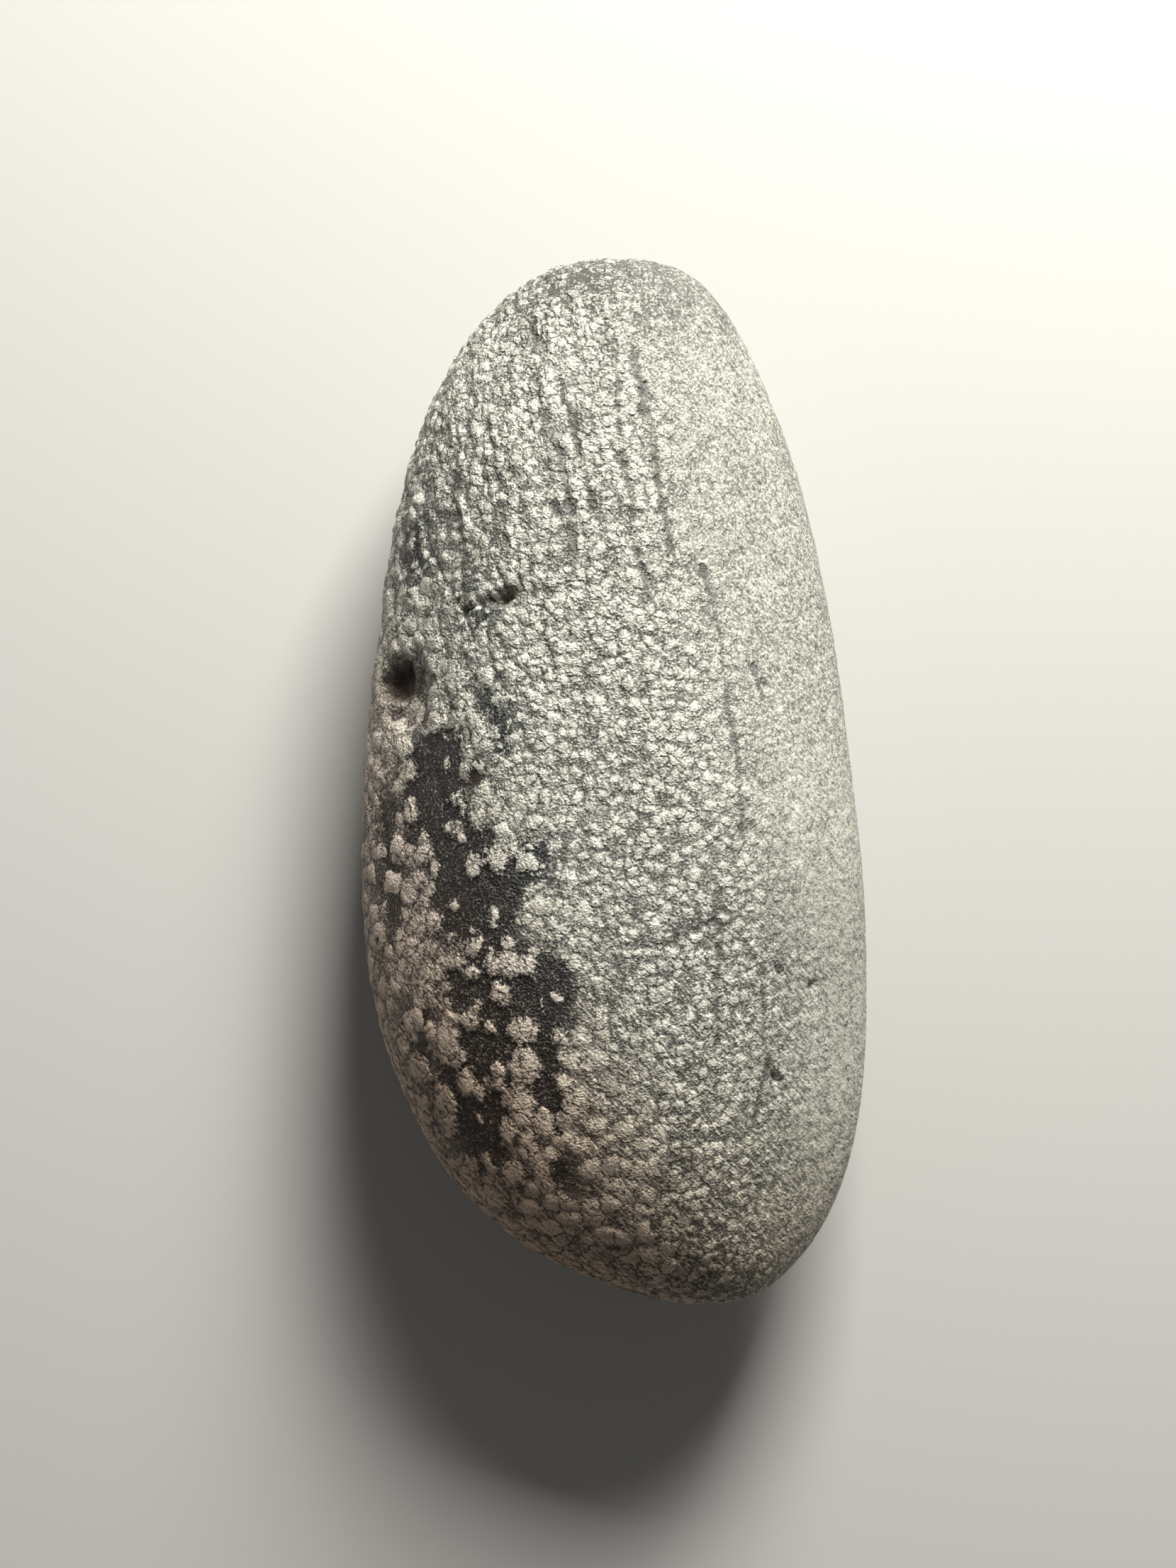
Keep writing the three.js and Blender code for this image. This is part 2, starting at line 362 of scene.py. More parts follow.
def stone_surface():
    """Points, quads, triangles and the places of both in two charts side by side."""
    columns, rows = FRONT_GRID
    front, front_uv = cap_grid(columns, rows)
    back_columns, back_rows = BACK_GRID
    back, back_uv = cap_grid(back_columns, back_rows)
    back = back * (1, 1, -1)
    stretch = (HALF_WIDTH, HALF_LENGTH, CROWN)
    used = np.zeros(len(back), bool)
    back_quads = grid_quads(back_columns, back_rows, 1)
    used[back_quads.ravel()] = True
    renumber = np.cumsum(used) - 1 + len(front)
    points = surface_points(np.vstack([front, back[used]]) * stretch)

    rim = grid_loop(columns, rows, 0)
    ring = renumber[grid_loop(back_columns, back_rows, 1)]
    ring_places = loop_places(back_columns - 2, back_rows - 2)
    strip = np.array(stitch(ring, ring_places, rim, loop_places(columns, rows)))
    quads = np.vstack([grid_quads(columns, rows), renumber[back_quads][:, ::-1]])
    triangles = strip[:, ::-1]

    front_chart = front_uv * (0.5, 1.0)
    back_chart = back_uv[used] * (0.5, 1.0) + (0.5, 0.0)
    chart = np.vstack([front_chart, back_chart])
    rim_in_back = chart.copy()
    rim_in_back[rim, 0] = chart[rim, 0] + 0.5
    corner_uv = np.vstack([chart[quads].reshape(-1, 2), rim_in_back[triangles].reshape(-1, 2)])
    return points, quads, triangles, corner_uv


# ---- What is where on the stone ----
# Places on the seen side are given as image points, and lie on the surface that they show.

# Bare dark glass: the outlines of the patches.
GLASS_PATCHES = [
    [(580, 1041), (638, 1029), (646, 1052), (650, 1079), (679, 1091), (676, 1109), (650, 1118),
     (656, 1150), (690, 1168), (700, 1205), (728, 1185), (770, 1192), (772, 1240), (740, 1252),
     (722, 1290), (716, 1338), (690, 1325), (660, 1335), (640, 1300), (610, 1290), (600, 1250),
     (595, 1220), (577, 1180), (560, 1152), (560, 1132), (571, 1107), (570, 1076)],
    [(611, 1249), (731, 1249), (722, 1330), (765, 1345), (800, 1362), (802, 1440), (778, 1470),
     (792, 1500), (795, 1560), (790, 1605), (768, 1600), (748, 1545), (742, 1505), (715, 1500),
     (724, 1560), (705, 1640), (670, 1625), (637, 1590), (640, 1560), (612, 1522), (640, 1480),
     (646, 1430), (625, 1400), (630, 1370), (655, 1330), (615, 1310)],
    [(681, 965), (691, 984), (709, 1014), (710, 1052), (699, 1058), (696, 1033), (684, 1000)],
    [(582, 740), (593, 746), (592, 800), (580, 790)],
    [(650, 850), (672, 857), (668, 872), (652, 868)],
    [(775, 1640), (800, 1645), (803, 1668), (780, 1668)],
    [(585, 1420), (606, 1432), (600, 1500), (582, 1480)],
    [(532, 1130), (550, 1135), (560, 1200), (565, 1290), (560, 1340), (546, 1330), (536, 1240)],
]

# The big snowflakes: image point, width, height, turn in degrees.
FLAKES = [
    (671, 1155, 24, 34, 0), (700, 1212, 27, 44, 8), (722, 1200, 34, 26, 0), (595, 1206, 30, 28, 0),
    (643, 1355, 26, 24, 0), (635, 1324, 15, 16, 0), (716, 1331, 22, 26, 0), (717, 1360, 34, 38, 0),
    (694, 1360, 24, 34, 0), (742, 1362, 28, 30, 0), (664, 1372, 26, 24, 0), (705, 1400, 26, 38, -28),
    (660, 1440, 28, 28, 0), (736, 1453, 46, 38, 0), (739, 1504, 40, 52, -10), (628, 1462, 34, 50, 8),
    (634, 1490, 44, 34, 0), (606, 1455, 22, 30, 0), (655, 1528, 26, 44, 15), (673, 1543, 20, 24, 0),
    (625, 1555, 30, 50, 0), (628, 1590, 26, 40, 30), (716, 1596, 26, 42, 15), (733, 1562, 34, 66, 0),
    (816, 1620, 28, 26, 0), (808, 1554, 34, 64, 8), (810, 1496, 50, 36, 12), (790, 1464, 24, 24, 0),
    (746, 1625, 30, 60, -6), (722, 1660, 30, 56, 12), (765, 1590, 26, 40, 0), (671, 1021, 28, 30, 0),
    (657, 1062, 20, 26, 0), (676, 1044, 30, 36, 0), (566, 1056, 30, 34, 0), (571, 1090, 26, 34, 0),
    (644, 1011, 18, 16, 0), (640, 1128, 22, 18, 0), (700, 1530, 22, 26, 0), (702, 1510, 22, 24, 0),
    (583, 1340, 30, 40, 0), (608, 1372, 38, 36, 0), (599, 1394, 26, 34, 0), (611, 938, 26, 34, 0),
    (652, 990, 30, 28, 0), (760, 1652, 26, 44, -8), (690, 1690, 30, 44, 30), (655, 1650, 26, 60, 35),
    (796, 1530, 28, 34, 0), (840, 1590, 30, 28, 0), (845, 1555, 26, 30, 0), (636, 1170, 26, 22, 0),
    (690, 1450, 18, 20, 0),
    (612, 905, 30, 26, 0), (640, 960, 36, 40, 10), (590, 1300, 28, 44, 5), (575, 1260, 26, 40, 0),
    (575, 1145, 20, 44, 0), (558, 1200, 26, 50, 0), (563, 1330, 20, 40, 0), (588, 1510, 34, 46, 12),
    (665, 1222, 22, 36, 10), (588, 1243, 30, 28, 0), (648, 1182, 14, 18, 0), (610, 1300, 26, 34, 0),
]

# Painted highlights on the lit lips of the hollow and beside the first crack, and stains, partly
# painted shade: image point, width, height, turn.
LIP_HIGHLIGHTS = [
    (612, 1022, 50, 13, -18), (600, 1030, 26, 9, -5), (648, 1016, 40, 9, -35), (730, 857, 62, 8, -18),
]
# Brown stains; those over the hollow and over the pit on the first crack also darken these recesses
# as painted shade.
BROWN_STAINS_AND_SHADE = [
    (557, 962, 66, 68, 0), (556, 926, 30, 24, 0), (548, 1004, 30, 22, 0), (748, 1055, 30, 20, 15),
    (664, 1100, 30, 26, 0), (1085, 1498, 17, 36, -20), (574, 800, 13, 130, 6), (600, 866, 14, 50, 10),
    (724, 830, 20, 16, -20), (706, 843, 18, 14, -20),
]

# The line where the front turns into the bevel on the right.
RIDGE = [(925, 420), (945, 600), (985, 800), (1040, 1000), (1078, 1200), (1100, 1450), (1085, 1680)]

# Dark flow lines, left from when the glass was moving: half-width in millimetres, and route.
FLOW_LINES = [
    (0.14, [(893, 490), (904, 555), (914, 590), (924, 650), (930, 700), (948, 780)]),
    (0.16, [(764, 573), (786, 639), (798, 690), (806, 749), (810, 793)]),
    (0.12, [(795, 550), (810, 610), (820, 650), (836, 715)]),
    (0.18, [(640, 675), (649, 740), (655, 810), (661, 850)]),
    (0.09, [(750, 450), (760, 560), (772, 640), (790, 760)]),
    (0.08, [(866, 480), (872, 600), (890, 720), (915, 850)]),
    (0.10, [(690, 600), (702, 690), (716, 780)]),
    (0.06, [(992, 800), (1016, 896), (1022, 960), (1040, 1060), (1048, 1180)]),
    (0.05, [(1052, 1330), (1075, 1372), (1080, 1430), (1083, 1500), (1062, 1580)]),
    (0.03, [(1064, 940), (1068, 962), (1078, 984)]),
    (0.02, [(650, 868), (690, 858), (725, 846), (762, 838), (792, 825)]),
    (0.0, [(871, 1337), (920, 1335), (959, 1326), (1000, 1305), (1033, 1286)]),
    (0.08, [(1010, 1240), (1012, 1340), (1010, 1440), (1007, 1560)]),
]

# Bare glass and snowflakes of the underside: x, y, radius in millimetres.
UNDERSIDE_GLASS = [
    (5.5, 6.0, 2.4), (7.0, 2.6, 1.8), (4.2, 9.5, 1.5), (-6.0, -14.0, 2.2), (-3.6, -17.0, 1.6),
]
UNDERSIDE_FLAKES = [
    (5.0, 6.8, 0.6), (6.6, 5.0, 0.5), (6.2, 3.2, 0.75), (4.4, 8.9, 0.5), (7.6, 2.0, 0.5),
    (3.9, 5.0, 0.6), (-6.4, -13.2, 0.8), (-5.2, -15.0, 0.6), (-3.4, -16.6, 0.55),
    (-7.0, -15.2, 0.5), (-4.6, -12.6, 0.5),
]
FLAKE_LENGTH = 1.2  # times its width, on the underside
LEAST_SLOPE = 0.45  # a leaning surface widens an oval by up to the inverse of this

# Where the looks change across the stone, in millimetres: where each change begins and is
# complete. TOWARDS is the direction of a change that runs aslant.
BEVEL_ACROSS = (-3.4, 3.2)  # from the ridge
BEVEL_UP = (-5.5, -1.0)
# Where the slanting streaks are: a fine relief, and also paler and darker strokes painted into the
# colour, with painted glints on them.
STREAKS_AND_GLINTS_BEVEL = (-3.4, 2.2)
STREAKS_AND_GLINTS_LOW_END = (1.0, -11.0)
UPPER_HALF = (-9.0, 7.0)
# Painted shade: the colour darkens towards the top end, and a little towards the lower end on its
# right.
TOP_END_SHADE = (19.5, 25.0)
LOW_END_SHADE = (-14.0, -20.0)
LOW_END_SHADE_ACROSS = (-3.0, 4.0)
COARSE = (-0.6, 3.4)
COARSE_TOWARDS = (-0.4, -0.12)
# Warmer colours towards the left side: partly the beige of the snowflakes there, partly a painted
# warm cast of light bounced onto that side.
WARM = (2.0, 9.5)
WARM_TOWARDS = (-0.75, -0.3)
# Painted reflected light: a warm cast of light bounced onto the lower left end.
PAINTED_BOUNCE_END = (6.0, 22.0)
PAINTED_BOUNCE_TOWARDS = (-0.5, -0.85)
CLEAR_OF_FLOOR = (-GIRDLE, -GIRDLE + 0.8)  # the relief fades out just above the floor


def bowls(points, normals, bites):
    """How deep the bites go at each point, each a bowl with a wavy rim and a softened wall."""
    depth = np.zeros(len(points))
    for x, y, side, (across, along, deep), turn in bites:
        centre = points_over((x, y), side)
        facing = outward(centre)[0]
        first, second = tangents(facing, turn)
        offset = points - centre[0]
        u = offset @ first / across
        v = offset @ second / along
        angle = np.arctan2(v, u)
        ripple = 1 + 0.1 * np.sin(3 * angle + x) + 0.06 * np.sin(7 * angle + y)
        radius = (np.abs(u) ** BITE_POWER + np.abs(v) ** BITE_POWER) ** (1 / BITE_POWER) * ripple
        near = np.abs(offset @ facing) < 2 * max(across, along)
        bowl = deep * np.sqrt(np.clip(1 - radius**2, 0, 1)) * smooth(*BITE_WALL, radius)
        depth = np.maximum(depth, np.where(near & (normals @ facing > 0), bowl, 0))
    return depth


def grooves(points):
    """How deep the cracks go at each point."""
    depth = np.zeros(len(points))
    for side, half_width, route in CRACKS:
        distance, place = route_distance(points, points_over(route, side))
        half = half_width * np.sqrt(np.sin(math.pi * np.clip(place, 0.02, 0.98)))
        depth = np.maximum(depth, WORN * CRACK_DEPTH * half * np.clip(1.15 - distance / half, 0, 1))
    return depth


def blot(points, normals, centre, across, along, turn):
    """Distance inside an oval lying on the surface, above 0 inside it."""
    facing = outward(centre[None, :])[0]
    first, second = tangents(facing, turn)
    offset = points - centre
    radius = np.hypot(offset @ first / across, offset @ second / along)
    inside = (1 - radius) * min(across, along)
    return np.where(normals @ facing > 0.2, inside, -across)


def ovals_inside(points, normals, ovals):
    """Where points are among several ovals, each given as centre, half sizes and turn.

    Gives the distance inside the nearest oval, that oval's centre, and how much further outside
    the next one each point is.
    """
    best = np.full(len(points), FAR_OUTSIDE)
    second = np.full(len(points), FAR_OUTSIDE)
    heart = np.zeros((len(points), 3))
    for centre, across, along, turn in ovals:
        inside = blot(points, normals, centre, across, along, turn)
        nearer = inside > best
        second = np.where(nearer, best, np.maximum(second, inside))
        best[nearer] = inside[nearer]
        heart[nearer] = centre
    return best, heart, best - second


def image_ovals(blots):
    """Ovals given by image point, width, height and turn, laid on the surface."""
    centres = seen_points([(px, py) for px, py, *_ in blots])
    ovals = []
    for centre, (_, _, wide, high, turn) in zip(centres, blots):
        slope = max(LEAST_SLOPE, outward(centre[None, :])[0, 2])
        ovals.append((centre, wide * MM_PER_PX / 2 / slope, high * MM_PER_PX / 2, -turn))
    return ovals


def glass_field(points, normals):
    """Distance inside the patches of bare glass, above 0 inside them."""
    front = points[:, 2] > 0
    best = np.full(len(points), FAR_OUTSIDE)
    for patch in GLASS_PATCHES:
        corners = seen_points(patch)[:, :2]
        near = inside_distance(points[front, :2], corners)
        best[front] = np.maximum(best[front], near)
    for x, y, radius in UNDERSIDE_GLASS:
        centre = points_over((x, y), -1)[0]
        best = np.maximum(best, blot(points, normals, centre, radius, radius, 0))
    return best


def flake_ovals():
    """The big snowflakes of both sides as ovals."""
    ovals = image_ovals(FLAKES)
    for x, y, radius in UNDERSIDE_FLAKES:
        ovals.append((points_over((x, y), -1)[0], radius, radius * FLAKE_LENGTH, 0))
    return ovals


def ridge_offset(points):
    """How far each point is to the right of the ridge."""
    ridge = seen_points(RIDGE)
    return points[:, 0] - np.interp(points[:, 1], ridge[::-1, 1], ridge[::-1, 0])


def line_field(points):
    """Distance outside the nearest flow line's half-width."""
    best = np.full(len(points), FAR_FROM_LINE)
    for half_width, route in FLOW_LINES:
        distance, _ = route_distance(points, seen_points(route))
        best = np.minimum(best, distance - half_width)
    return best


def stone_fields(points):
    """What each point of the surface is, as named fields that the nodes read.

    Distances are in millimetres, above 0 inside a shape. The others are shares from 0 to 1.
    """
    normals = outward(points)
    across = ridge_offset(points)
    x, y, z = points.T
    bites = bowls(points, normals, HOLLOW + PITS)
    flake, heart, apart = ovals_inside(points, normals, flake_ovals())
    low_end_shade = smooth(*LOW_END_SHADE, y) * smooth(*LOW_END_SHADE_ACROSS, x)
    streaks_and_glints_bevel = 0.55 * smooth(*STREAKS_AND_GLINTS_BEVEL, across)
    streaks_and_glints_end = 0.9 * smooth(*STREAKS_AND_GLINTS_LOW_END, y)
    return {
        "rest": points,
        "heart": heart,
        "sunk": np.maximum(bites, grooves(points)),
        "hollow": bites,
        "glass": glass_field(points, normals),
        "flake": flake,
        "apart": apart,
        # painted highlights on lit lips
        "pale": ovals_inside(points, normals, image_ovals(LIP_HIGHLIGHTS))[0],
        # stains, partly painted shade over the hollow and a pit
        "stain_and_shade": ovals_inside(points, normals, image_ovals(BROWN_STAINS_AND_SHADE))[0],
        "line": line_field(points),
        "across": across,
        "bevel": smooth(*BEVEL_ACROSS, across) * smooth(*BEVEL_UP, z),
        "coarse": 0.78 * smooth(*COARSE, points[:, :2] @ COARSE_TOWARDS),
        "banded": smooth(*UPPER_HALF, y),
        # painted shade at the top end and the lower right end
        "end_shade": smooth(*TOP_END_SHADE, y) + 0.3 * low_end_shade,
        # streaks: fine relief, plus painted light and shade and painted glints in the colour
        "streaks_and_glints": np.maximum(streaks_and_glints_bevel, streaks_and_glints_end),
        # partly real beige, partly a painted warm cast of bounced light
        "warm": smooth(*WARM, points[:, :2] @ WARM_TOWARDS),
        # painted warm cast of bounced light towards the lower left end
        "painted_bounce": smooth(*PAINTED_BOUNCE_END, points[:, :2] @ PAINTED_BOUNCE_TOWARDS),
        "free": smooth(*CLEAR_OF_FLOOR, z),
    }


# ---- Nodes: one pattern drives the mesh's relief and the material ----

# A Mix node's sockets for each kind of value: its two inputs and its output.
MIX_SOCKETS = {"FLOAT": (2, 3, 0), "VECTOR": (4, 5, 1), "RGBA": (6, 7, 2)}
BUD_REACH = (0.0, 0.65)  # from a bud's middle to its edge, in shares of the buds' spacing


class Net:
    """Adds nodes to a material's or a geometry modifier's tree."""

    def __init__(self, tree):
        self.tree = tree
        self.is_geometry = tree.bl_idname == "GeometryNodeTree"

    def node(self, kind, inputs=None, **settings):
        node = self.tree.nodes.new(kind)
        for name, value in settings.items():
            setattr(node, name, value)
        for name, value in (inputs or {}).items():
            self.feed(node.inputs[name], value)
        return node

    def feed(self, socket, value):
        if isinstance(value, bpy.types.NodeSocket):
            self.tree.links.new(value, socket)
        else:
            socket.default_value = value

    def field(self, name, is_vector=False):
        if self.is_geometry:
            kind = "FLOAT_VECTOR" if is_vector else "FLOAT"
            node = self.node("GeometryNodeInputNamedAttribute", {"Name": name}, data_type=kind)
            return node.outputs["Attribute"]
        node = self.node("ShaderNodeAttribute", attribute_name=name)
        return node.outputs["Vector" if is_vector else "Fac"]

    def math(self, operation, a, b=0.0, clamp=False):
        node = self.node("ShaderNodeMath", {0: a, 1: b}, operation=operation, use_clamp=clamp)
        return node.outputs[0]

    def add(self, *values):
        total = values[0]
        for value in values[1:]:
            total = self.math("ADD", total, value)
        return total

    def times(self, *values):
        product = values[0]
        for value in values[1:]:
            product = self.math("MULTIPLY", product, value)
        return product

    def less(self, a, b):
        return self.math("SUBTRACT", a, b)

    def vector(self, operation, a, b):
        return self.node("ShaderNodeVectorMath", {0: a, 1: b}, operation=operation).outputs[0]

    def stretch(self, vector, turn_degrees, scales):
        """Coordinates turned about Z and then scaled."""
        inputs = {"Vector": vector, "Angle": math.radians(turn_degrees)}
        turned = self.node("ShaderNodeVectorRotate", inputs, rotation_type="Z_AXIS")
        return self.vector("MULTIPLY", turned.outputs[0], scales)

    def noise_node(self, vector, scale, detail, roughness):
        inputs = {"Vector": vector, "Scale": scale, "Detail": detail, "Roughness": roughness}
        return self.node("ShaderNodeTexNoise", inputs)

    def noise(self, vector, scale, detail=2.0, roughness=0.5):
        """A value that wanders evenly about 0."""
        return self.less(self.noise_node(vector, scale, detail, roughness).outputs[0], 0.5)

    def noise_vector(self, vector, scale, detail=2.0, roughness=0.5):
        """Three unrelated values that wander evenly about 0."""
        colour = self.noise_node(vector, scale, detail, roughness).outputs["Color"]
        return self.vector("SUBTRACT", colour, (0.5, 0.5, 0.5))

    def split(self, vector):
        return self.node("ShaderNodeSeparateXYZ", {0: vector}).outputs[:3]

    def grow(self, vector, size):
        """A vector times a number."""
        node = self.node("ShaderNodeVectorMath", {0: vector, "Scale": size}, operation="SCALE")
        return node.outputs[0]

    def cells(self, vector, scale):
        """A pattern of cells: how far from the middle and the edge, the middle, and a colour."""
        inputs = {"Vector": vector, "Scale": scale}
        cell = self.node("ShaderNodeTexVoronoi", inputs, feature="F1").outputs
        edge = self.node("ShaderNodeTexVoronoi", inputs, feature="DISTANCE_TO_EDGE").outputs
        return cell["Distance"], edge["Distance"], cell["Position"], cell["Color"]

    def buds(self, vector, scale):
        """Small round buds, 1 in their middles."""
        bud = self.node("ShaderNodeTexVoronoi", {"Vector": vector, "Scale": scale}, feature="F1")
        return self.less(1.0, self.step(bud.outputs["Distance"], *BUD_REACH))

    def step(self, value, low, high):
        """0 below low, 1 above high, and a soft step between them."""
        inputs = {"Value": value, "From Min": low, "From Max": high}
        node = self.node("ShaderNodeMapRange", inputs, interpolation_type="SMOOTHSTEP")
        return node.outputs["Result"]

    def between(self, value, low, high):
        """The value spread from low to high as its input goes from 0 to 1."""
        inputs = {"Value": value, "To Min": low, "To Max": high}
        return self.node("ShaderNodeMapRange", inputs, clamp=False).outputs["Result"]

    def weigh(self, *parts):
        """The sum of values, each times its weight."""
        return self.add(*(self.times(value, weight) for value, weight in parts))

    def blend(self, share, *parts):
        """The sum of values, each times a weight that goes from low to high with the share."""
        return self.weigh(*((value, self.between(share, low, high)) for value, low, high in parts))

    def mix(self, share, a, b, kind="FLOAT"):
        first, second, result = MIX_SOCKETS[kind]
        node = self.node("ShaderNodeMix", {0: share, first: a, second: b}, data_type=kind)
        return node.outputs[result]

    def mix_colour(self, share, a, b):
        return self.mix(share, a, b, "RGBA")


# ---- The pattern ----
# A pair named EDGE or REACH is where a soft step begins and where it is complete. In the sums each
# number is the weight of a part.

# How many there are to a millimetre.
FINE_CELLS = 1.8  # granules in the middle of the stone
COARSE_CELLS = 1.05  # granules on its left and lower side
BUDS = 6.0  # the small buds that each granule is made of
PATCHES = 1.1  # broad paler and darker patches
BENDS = 1.5  # bends in the rows of granules
FRAYS = 5.5  # frays along the edges of granules and glass
SPECKS = 9.5  # the finest grain of the frosted surface
ROWS = (0.75, 0.2)  # rows beside the ridge: across it and along it
SWEEPS = (0.7, 0.16)  # soft broad streaks beside the ridge

ROW_EDGE = (0.0, 0.09)
COARSE_EDGE = (0.49, 0.51)
HEART_REACH = (-0.4, -0.3)  # how near a snowflake the fibres turn round its own middle
GRANULE_REACH = (0.35, 0.95)
DOME_REACH = (0.1, 0.75)
CRACK_EDGE = (-0.02, 0.05)
FLAKE_EDGE = (-0.05, 0.07)
MOAT_EDGE = (-0.28, -0.08)
PLATE_EDGE = (-0.01, 0.11)
CORE_EDGE = (-0.04, 0.26)
MOUND_EDGE = (-0.2, 0.4)
ISLAND_PICK_EDGE = (0.7, 0.74)
ISLAND_CELL_EDGE = (0.3, 0.34)
GLASS_EDGE = (-0.1, 0.12)
NEAR_GLASS_EDGE = (-1.7, 0.2)
LOOSE_EDGE = (-0.14, 0.08)


def ridge_noise(net, place, spacing, detail):
    """A value that wanders evenly about 0, drawn out alongside the ridge."""
    across, along = spacing
    drawn = net.vector("MULTIPLY", place, (0.0, along, 0.0))
    sideways = net.node("ShaderNodeCombineXYZ", {"X": net.times(net.field("across"), across)})
    return net.noise(net.vector("ADD", drawn, sideways.outputs[0]), 1.0, detail)


def rows(net, place):
    """Thin wandering rows that run alongside the ridge, 0 to 1."""
    distance = net.math("ABSOLUTE", ridge_noise(net, place, ROWS, 1.0))
    row = net.less(1.0, net.step(distance, *ROW_EDGE))
    return net.times(row, net.field("banded"), net.between(net.field("bevel"), 1.0, 0.3))


class Pattern:
    """The granules, snowflakes and bare glass, as values from 0 to 1, and their height in mm."""

    def __init__(self, net):
        self.net = net
        self.place = net.field("rest", is_vector=True)
        self.bevel = net.field("bevel")
        self.banded = net.field("banded")
        self.flake_in = net.field("flake")
        self.draw_noises()
        self.draw_granules()
        self.draw_flakes()
        self.draw_glass()
        self.draw_growth()
        self.draw_height()

    def draw_noises(self):
        """The wandering values that fray and bend everything else."""
        net = self.net
        self.patchy, self.patchy_too, _ = net.split(net.noise_vector(self.place, PATCHES))
        ragged = net.noise_vector(self.place, FRAYS, 2.0, 0.6)
        self.fray, self.fray_too, self.fray_three = net.split(ragged)
        self.speck = net.noise(self.place, SPECKS, 2.0, 0.7)
        bent = net.vector("ADD", self.place, net.grow(net.noise_vector(self.place, BENDS), 0.7))
        self.bent = net.vector("ADD", bent, net.grow(ragged, 0.16))
        self.row = rows(net, self.bent)
        self.bud = net.buds(net.vector("ADD", self.place, net.grow(ragged, 0.08)), BUDS)

    def draw_fibres(self, heart):
        """Fibres that run out from the middles of the granules and snowflakes."""
        net = self.net
        near_flake = net.step(self.flake_in, *HEART_REACH)
        heart = net.mix(near_flake, heart, net.field("heart"), "VECTOR")
        away = net.vector("SUBTRACT", self.bent, heart)
        spoke = net.node("ShaderNodeVectorMath", {0: away}, operation="NORMALIZE").outputs[0]
        spoke = net.vector("ADD", net.grow(spoke, 2.4), net.grow(self.place, 4.5))
        self.fibre, self.fibre_too, _ = net.split(net.noise_vector(spoke, 1.0, 2.0, 0.6))

    def draw_granules(self):
        """Granules of two sizes, each a rosette of fibres that closes against its neighbours."""
        net = self.net
        is_big = net.add(net.field("coarse"), net.times(self.patchy_too, 1.8))
        is_big = net.step(is_big, *COARSE_EDGE)
        cells = net.cells(self.bent, net.mix(is_big, FINE_CELLS, COARSE_CELLS))
        self.middle, self.edge, heart, colour = cells
        self.pick, self.cell, _ = net.split(colour)
        self.draw_fibres(heart)
        far = net.add(
            self.middle,
            net.blend(is_big, (self.fibre_too, 0.55, 0.45), (self.fray, 0.45, 0.25)),
            net.times(is_big, -0.16),
            net.between(self.banded, 0.1, 0.0),
        )
        seam = net.add(
            self.edge,
            net.weigh((self.fray, 0.2), (self.fibre_too, 0.2)),
            net.blend(is_big, (self.patchy, 0.2, 0.1)),
        )
        rounded = net.less(1.0, net.step(far, *GRANULE_REACH))
        closed = net.step(seam, -0.03, net.between(is_big, 0.22, 0.12))
        lump = net.times(rounded, net.mix(closed, net.between(is_big, 0.25, 0.0), 1.0))
        self.lump = net.mix(net.times(self.bevel, 0.85), lump, 0.62)
        crack = net.add(self.edge, net.times(self.fray_three, 0.4))
        self.crack = net.less(1.0, net.step(crack, *CRACK_EDGE))

    def draw_flakes(self):
        """Snowflakes: small plates, darker where two flakes meet, with a moat round each."""
        net = self.net
        brink = net.add(self.flake_in, net.weigh((self.fibre, 0.65), (self.speck, 0.25)))
        self.flake = net.step(brink, *FLAKE_EDGE)
        self.moat = net.step(brink, *MOAT_EDGE)
        plate = net.add(self.edge, net.weigh((self.fray, 0.16), (self.fibre_too, 0.1)))
        plate = net.step(plate, *PLATE_EDGE)
        core = net.math("MINIMUM", self.flake_in, net.field("apart"))
        core = net.step(net.add(core, net.times(self.fibre_too, 0.35)), *CORE_EDGE)
        self.within = net.times(net.between(plate, 0.1, 1.0), net.between(core, 0.3, 1.1))

    def draw_glass(self):
        """Bare glass: the patches, and here and there a place where no granule grew."""
        net = self.net
        glass_in = net.field("glass")
        island = net.times(
            net.step(self.pick, *ISLAND_PICK_EDGE),
            net.step(self.cell, *ISLAND_CELL_EDGE),
            self.lump,
        )
        ragged = net.weigh((self.fray_too, 1.2), (self.fibre, 0.5), (island, -1.2))
        near_glass = net.step(net.add(glass_in, self.patchy), *NEAR_GLASS_EDGE)
        loose = net.weigh(
            (near_glass, 0.36),
            (self.bevel, -0.1),
            (self.patchy, 0.4),
            (self.row, 0.12),
            (self.pick, -1.0),
            (self.fray_three, 0.5),
            (self.fibre, 0.3),
        )
        missing = net.times(net.step(loose, *LOOSE_EDGE), net.between(near_glass, 0.3, 0.85))
        no_flake = net.less(1.0, self.flake)
        self.bare = net.times(net.step(net.add(glass_in, ragged), *GLASS_EDGE), no_flake)
        self.open = net.math("MAXIMUM", self.bare, net.times(missing, no_flake))

    def draw_growth(self):
        """How far the pale crystals have grown: none in the gaps and all in a granule's middle."""
        net = self.net
        closed = net.less(1.0, self.open)
        covered = net.times(self.lump, closed, net.between(self.moat, 1.0, 0.3))
        self.grown = net.mix(self.flake, covered, self.within)

